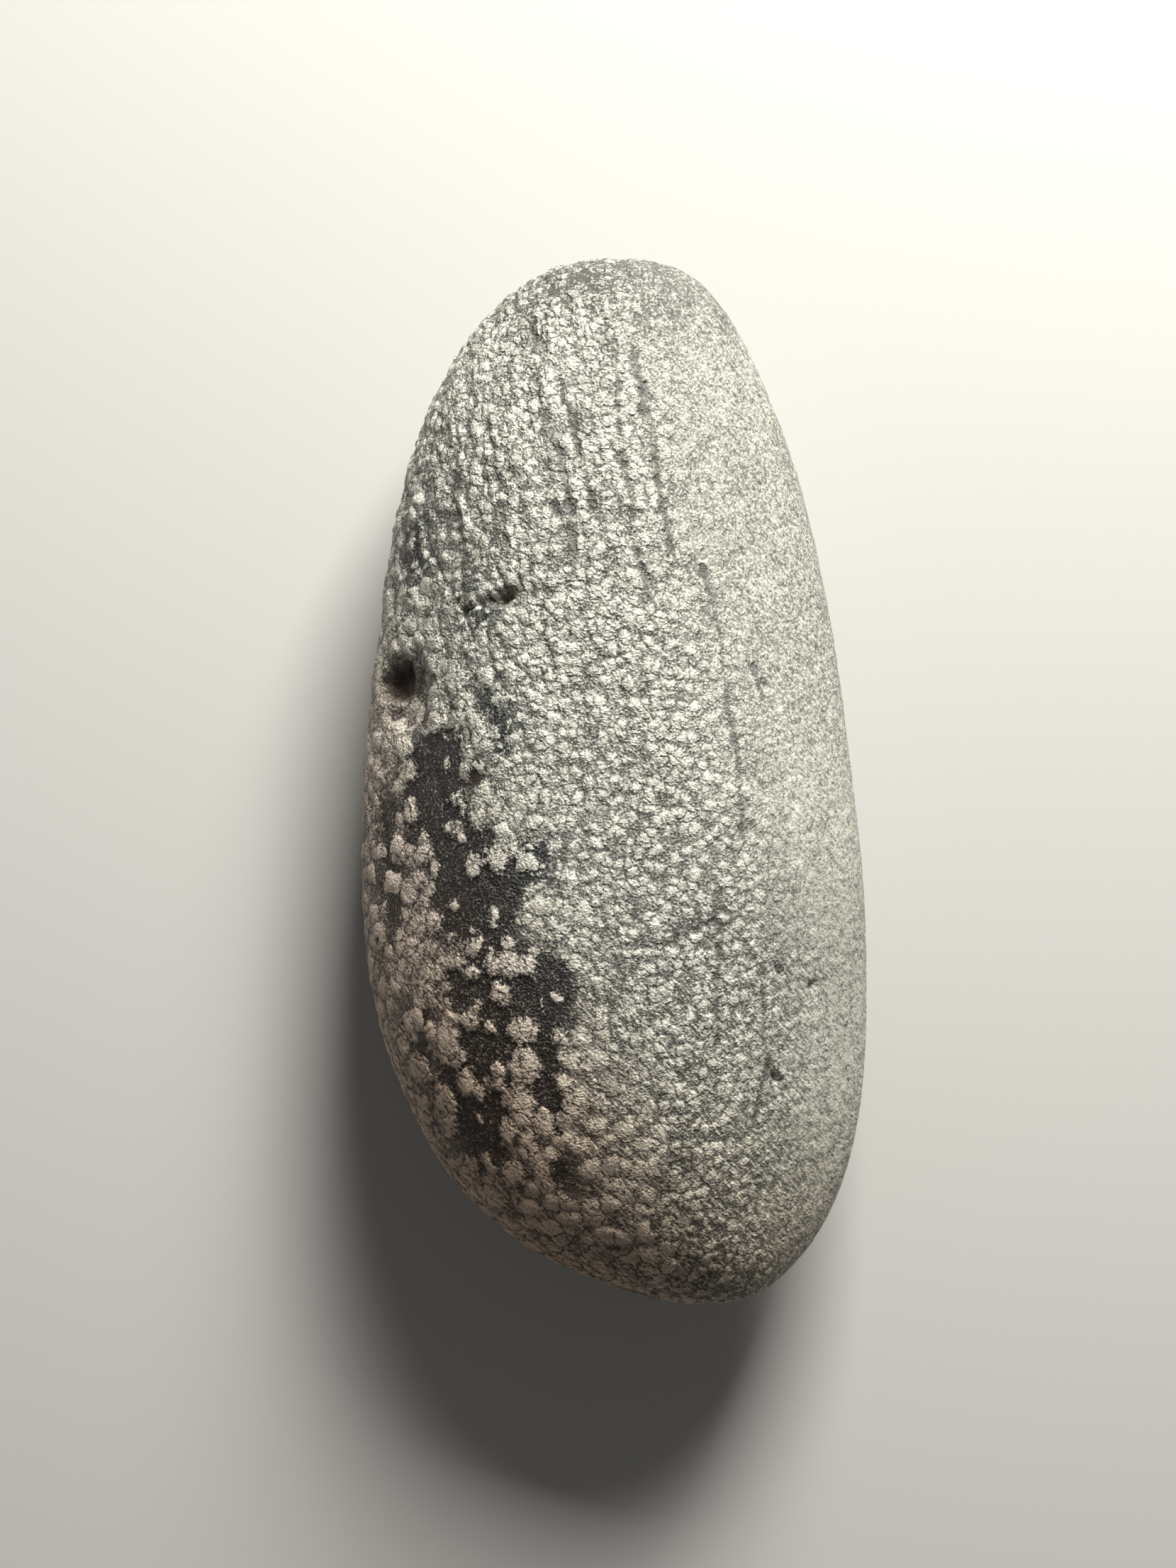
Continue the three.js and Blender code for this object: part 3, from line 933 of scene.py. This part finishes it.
    def draw_height(self):
        """Granules and snowflakes stand proud, and glass and rows are sunk."""
        net = self.net
        dome = net.less(1.0, net.step(self.middle, *DOME_REACH))
        dome = net.mix(self.flake, net.times(dome, net.less(1.0, self.open)), 0.5)
        rise = net.times(net.between(self.bevel, 0.11, 0.03), net.between(self.banded, 0.65, 1.0))
        mound = net.step(net.add(self.flake_in, net.times(self.fray, 0.3)), *MOUND_EDGE)
        self.height = net.weigh(
            (dome, rise),
            (mound, 0.04),
            (self.bare, -0.03),
            (self.row, -0.07),
            (self.patchy, 0.08),
        )


# ---- The stone's mesh ----


def add_field(mesh, name, values):
    """Stores a number or a vector at each point of a mesh."""
    is_vector = values.ndim == 2
    attribute = mesh.attributes.new(name, "FLOAT_VECTOR" if is_vector else "FLOAT", "POINT")
    target = "vector" if is_vector else "value"
    attribute.data.foreach_set(target, np.ascontiguousarray(values, np.float32).ravel())


def fill_mesh(points, quads, triangles, corner_uv):
    """A smooth-shaded mesh of quads and triangles with its chart."""
    mesh = bpy.data.meshes.new("stone_surface")
    mesh.vertices.add(len(points))
    mesh.vertices.foreach_set("co", points.astype(np.float32).ravel())
    corners = np.concatenate([quads.ravel(), triangles.ravel()])
    mesh.loops.add(len(corners))
    mesh.loops.foreach_set("vertex_index", corners.astype(np.int32))
    triangle_starts = 4 * len(quads) + 3 * np.arange(len(triangles))
    starts = np.concatenate([4 * np.arange(len(quads)), triangle_starts])
    mesh.polygons.add(len(starts))
    mesh.polygons.foreach_set("loop_start", starts.astype(np.int32))
    mesh.update(calc_edges=True)
    uv = mesh.uv_layers.new(name="OFBake")
    uv.data.foreach_set("uv", corner_uv.astype(np.float32).ravel())
    mesh.polygons.foreach_set("use_smooth", np.ones(len(starts), bool))
    return mesh


def relief_modifier(stone):
    """Lifts each point of the mesh by the pattern's height."""
    tree = bpy.data.node_groups.new("stone_relief", "GeometryNodeTree")
    tree.interface.new_socket("Geometry", in_out="INPUT", socket_type="NodeSocketGeometry")
    tree.interface.new_socket("Geometry", in_out="OUTPUT", socket_type="NodeSocketGeometry")
    net = Net(tree)
    start = net.node("NodeGroupInput")
    normal = net.node("GeometryNodeInputNormal").outputs[0]
    lift = net.grow(normal, net.times(Pattern(net).height, net.field("free"), MM))
    inputs = {"Geometry": start.outputs[0], "Offset": lift}
    moved = net.node("GeometryNodeSetPosition", inputs)
    net.node("NodeGroupOutput", {"Geometry": moved.outputs[0]})
    modifier = stone.modifiers.new("relief", "NODES")
    modifier.node_group = tree


def apply_modifiers(piece):
    """Gives a piece its finished mesh and takes its modifiers off."""
    graph = bpy.context.evaluated_depsgraph_get()
    finished = bpy.data.meshes.new_from_object(piece.evaluated_get(graph))
    piece.modifiers.clear()
    piece.data = finished


def seat(points):
    """Places the stone's own coordinates in the CAD box, in metres, on its flat spot."""
    low, high = (np.array(corner) for corner in CAD_BOX)
    own_low = points.min(axis=0)
    own_high = points.max(axis=0)
    own_low[2] = -GIRDLE
    share = (points - own_low) / (own_high - own_low)
    placed = low + share * (high - low)
    placed[:, 2] = np.maximum(placed[:, 2], low[2])
    return placed


def make_stone():
    points, quads, triangles, corner_uv = stone_surface()
    fields = stone_fields(points)
    sunk = points - outward(points) * fields.pop("sunk")[:, None]
    mesh = fill_mesh(seat(sunk), quads, triangles, corner_uv)
    for name, values in fields.items():
        add_field(mesh, name, values)
    stone = bpy.data.objects.new("snowflake_obsidian", mesh)
    bpy.context.scene.collection.objects.link(stone)
    relief_modifier(stone)
    apply_modifiers(stone)
    stone.data.materials.append(stone_material())
    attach(stone, "root")
    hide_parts("obsidian_pebble")


# ---- Material ----

WHITE = (1, 1, 1, 1)
GRANULE = (0.73, 0.725, 0.64, 1)
# The _WARM colours, used towards the left side, hold partly the snowflakes' beige there and partly a
# painted warm cast of bounced light.
GRANULE_WARM = (0.64, 0.545, 0.465, 1)
BEVEL_LIGHT = (0.53, 0.525, 0.46, 1)
GAP = (0.085, 0.085, 0.077, 1)
GAP_WARM = (0.05, 0.033, 0.025, 1)
BEVEL_GAP = (0.1, 0.101, 0.093, 1)
GLASS = (0.018, 0.02, 0.021, 1)
GLASS_WARM = (0.02, 0.014, 0.01, 1)
SCUFF = (0.4, 0.41, 0.39, 1)
HOLLOW_BROWN_AND_SHADE = (0.075, 0.045, 0.025, 1)
STAIN_AND_SHADE = (0.06, 0.04, 0.03, 1)
LIP_HIGHLIGHT = (0.95, 0.9, 0.8, 1)
PAINTED_BOUNCE_TINT = (0.95, 0.82, 0.7, 1)

STREAK_TURN = 50  # degrees
STREAKS = (1.8, 8.5, 3.0)  # to a millimetre: along the streaks, across them, and deep
PAINTED_GLINT_EDGE = (0.07, 0.18)
BASE_TONE = 0.13
FLANK_EDGE = (0.0, 3.0)  # millimetres to the right of the ridge, where the outer flank is painted lighter and given more grain
BEVEL_TONES = (-0.6, 1.6)  # the tones that are darkest and palest on the bevel
MARK_EDGE = (0.02, 0.7)
LINE_EDGE = (-0.05, 0.2)

GRANULE_ROUGHNESS = 0.6
GLASS_ROUGHNESS = 0.46
STONE_IOR = 1.4

# Colours that lie over the pattern: field, how much its edge is frayed, edge, strength, colour.
OVERLAYS = [
    # partly the brown inside the hollow and the deeper pits, partly painted shade in these recesses
    ("hollow", 0.5, (0.3, 0.8), 0.95, HOLLOW_BROWN_AND_SHADE),
    # stains, partly painted shade over the hollow and a pit
    ("stain_and_shade", 0.7, (-0.1, 0.3), 0.8, STAIN_AND_SHADE),
    # painted highlights on the lit lips of the hollow and beside a crack
    ("pale", 0.5, (-0.02, 0.15), 0.7, LIP_HIGHLIGHT),
]


def slant_streaks_and_painted_glints(net, pattern):
    """The slanting streaks of the bevel and the lower end, about 0, and the painted glints on their
    crests, 0 to 1.
    """
    slant = net.stretch(pattern.place, STREAK_TURN, STREAKS)
    streak = net.times(net.noise(slant, 1.0, 1.0), net.field("streaks_and_glints"))
    return streak, net.step(streak, *PAINTED_GLINT_EDGE)


def granule_tone(net, pattern, crisp, streak, painted_glint):
    """0 in the darkest gaps and 1 on the palest granules."""
    banded = pattern.banded
    bevel = pattern.bevel
    flank = net.step(net.field("across"), *FLANK_EDGE)
    sweep = ridge_noise(net, pattern.place, SWEEPS, 2.0)
    # Fine grain of the frosted surface; its pale bud flecks are partly painted sparkle, standing in
    # for the glints of tiny facets.
    fine = net.weigh(
        (net.less(pattern.bud, 0.4), net.between(banded, 0.25, 0.5)),
        (net.times(pattern.crack, crisp), -0.1),
        (pattern.speck, 1.1),
        (pattern.fibre, net.between(pattern.flake, 0.8, 1.3)),
    )
    by_bevel = net.blend(
        bevel,
        (pattern.patchy, 0.35, 0.5),
        (fine, 1.4, 2.1),
        # painted light and shade: the slanting streaks as paler and darker strokes, and painted
        # glints on their crests
        (streak, 1.1, 2.4),
        (painted_glint, 0.45, 0.8),
        # painted shade: darker towards the top end and the lower right end
        (net.field("end_shade"), -0.36, -0.55),
    )
    by_end = net.blend(
        banded,
        (pattern.grown, 0.6, 0.56),
        (bevel, -0.08, -0.16),
        # painted light: the bevel's outer flank is made paler, most towards the lower end
        (flank, 0.36, 0.08),
    )
    anywhere = net.weigh(
        (pattern.cell, 0.18),
        (net.times(sweep, bevel), 0.6),
        (net.times(pattern.fray, flank), 2.4),
        (pattern.row, -0.12),
        (banded, 0.25),
    )
    tone = net.add(by_bevel, by_end, anywhere, BASE_TONE)
    return net.mix(bevel, net.math("ADD", tone, 0.0, clamp=True), net.step(tone, *BEVEL_TONES))


def glass_colour(net, pattern):
    """Nearly black, worn all over with fine pale marks."""
    warm = net.field("warm")
    marks = net.weigh((pattern.speck, 1.6), (pattern.fibre, 1.4), (pattern.fray, 1.2))
    marks = net.times(net.step(marks, *MARK_EDGE), 0.6)
    glass = net.mix_colour(warm, GLASS, GLASS_WARM)
    return net.mix_colour(marks, glass, net.mix_colour(warm, SCUFF, GRANULE_WARM))


def flow_lines(net, pattern):
    """The dark flow lines, 0 to 1."""
    ragged = net.weigh((pattern.fray, 0.7), (pattern.patchy, 0.8))
    return net.less(1.0, net.step(net.add(net.field("line"), ragged), *LINE_EDGE))


def stone_colour(net, pattern, crisp, streak, painted_glint, line):
    """Pale granules with darker gaps, bare glass, flow lines, stains, painted shade in recesses,
    painted highlights on lips, and a painted warm cast of bounced light towards the lower left end.
    """
    warm = net.field("warm")
    light = net.mix_colour(pattern.bevel, net.mix_colour(warm, GRANULE, GRANULE_WARM), BEVEL_LIGHT)
    gap = net.mix_colour(pattern.bevel, net.mix_colour(warm, GAP, GAP_WARM), BEVEL_GAP)
    colour = net.mix_colour(granule_tone(net, pattern, crisp, streak, painted_glint), gap, light)
    colour = net.mix_colour(pattern.open, colour, glass_colour(net, pattern))
    colour = net.mix_colour(net.times(line, 0.75), colour, gap)
    for name, fray, edge, strength, paint in OVERLAYS:
        reach = net.add(net.field(name), net.times(pattern.fray, fray))
        colour = net.mix_colour(net.times(net.step(reach, *edge), strength), colour, paint)
    # a painted warm cast of bounced light towards the lower left end
    return net.vector("MULTIPLY", colour, net.mix_colour(net.field("painted_bounce"), WHITE, PAINTED_BOUNCE_TINT))


def fine_relief(net, pattern, crisp, streak, line):
    """The height in millimetres of what is too fine for the mesh."""
    grit = net.weigh(
        (pattern.grown, 0.04),
        (pattern.bud, 0.06),
        (pattern.crack, -0.015),
        (pattern.speck, 0.14),
        (pattern.fibre, 0.05),
    )
    return net.weigh((pattern.height, 0.7), (grit, crisp), (streak, 0.025), (line, -0.05))


def stone_material():
    material = bpy.data.materials.new("frosted_snowflake_obsidian")
    material.use_nodes = True
    material.node_tree.nodes.clear()
    net = Net(material.node_tree)
    pattern = Pattern(net)
    crisp = net.times(net.between(pattern.bevel, 1.0, 0.35), net.between(pattern.banded, 0.6, 1.0))
    streak, painted_glint = slant_streaks_and_painted_glints(net, pattern)
    line = flow_lines(net, pattern)
    relief = fine_relief(net, pattern, crisp, streak, line)
    bump = net.node("ShaderNodeBump", {"Height": relief, "Distance": MM, "Strength": 1.0})
    surface = {
        "Base Color": stone_colour(net, pattern, crisp, streak, painted_glint, line),
        "Roughness": net.between(pattern.open, GRANULE_ROUGHNESS, GLASS_ROUGHNESS),
        "Normal": bump.outputs[0],
        "IOR": STONE_IOR,
    }
    shader = net.node("ShaderNodeBsdfPrincipled", surface)
    net.node("ShaderNodeOutputMaterial", {"Surface": shader.outputs[0]})
    return material


# ---- Floor, lights and camera ----

FLOOR_SIZE = 2.0  # metres
PAPER = (0.5, 0.495, 0.48, 1)
PAPER_ROUGHNESS = 0.9

# Lights: name, where from, distance and size in metres, power in watts, colour.
LIGHTS = [
    ("key", (0.28, 0.77, 0.57), 0.2, 0.085, 0.98, (1.0, 0.98, 0.92)),
    ("fill", (-0.7, -0.4, 0.7), 0.5, 0.3, 0.06, (1.0, 0.9, 0.84)),
]
ROOM_LIGHT = 0.1
CLIP_START = 0.01  # metres


def make_floor():
    material = bpy.data.materials.new("pale_paper")
    material.use_nodes = True
    shader = material.node_tree.nodes["Principled BSDF"]
    shader.inputs["Base Color"].default_value = PAPER
    shader.inputs["Roughness"].default_value = PAPER_ROUGHNESS
    bpy.ops.mesh.primitive_plane_add(size=FLOOR_SIZE, location=(0, 0, 0))
    floor = bpy.context.object
    floor.name = "floor"
    floor.data.materials.append(material)


def area_light(name, source, distance, size, power, colour):
    """A square light that shines on the stone from a direction."""
    direction = np.array(source) / np.linalg.norm(source)
    data = bpy.data.lights.new(name, "AREA")
    data.size = size
    data.energy = power
    data.color = colour
    light = bpy.data.objects.new(name, data)
    light.location = direction * distance + (0, 0, GIRDLE * MM)
    aim = Vector(-direction).to_track_quat("-Z", "Y")
    light.rotation_euler = aim.to_euler()
    bpy.context.scene.collection.objects.link(light)


def make_lights():
    for light in LIGHTS:
        area_light(*light)
    world = bpy.data.worlds.new("studio")
    world.use_nodes = True
    background = world.node_tree.nodes["Background"]
    background.inputs["Color"].default_value = WHITE
    background.inputs["Strength"].default_value = ROOM_LIGHT
    bpy.context.scene.world = world


def make_camera():
    data = bpy.data.cameras.new("camera")
    data.sensor_fit = "VERTICAL"
    data.sensor_height = SENSOR
    data.lens = SENSOR * CAMERA_DISTANCE / (IMAGE_HEIGHT * MM_PER_PX)
    data.clip_start = CLIP_START
    camera = bpy.data.objects.new("camera", data)
    camera.location = (CAMERA_XY[0] * MM, CAMERA_XY[1] * MM, (GIRDLE + CAMERA_DISTANCE) * MM)
    camera.rotation_euler = (0, 0, -LEAN)
    bpy.context.scene.collection.objects.link(camera)
    bpy.context.scene.camera = camera


def set_view():
    view = bpy.context.scene.view_settings
    view.view_transform = "Standard"
    view.look = "None"
    view.exposure = 0.0
    view.gamma = 1.0


make_camera()
make_stone()
make_floor()
make_lights()
set_view()
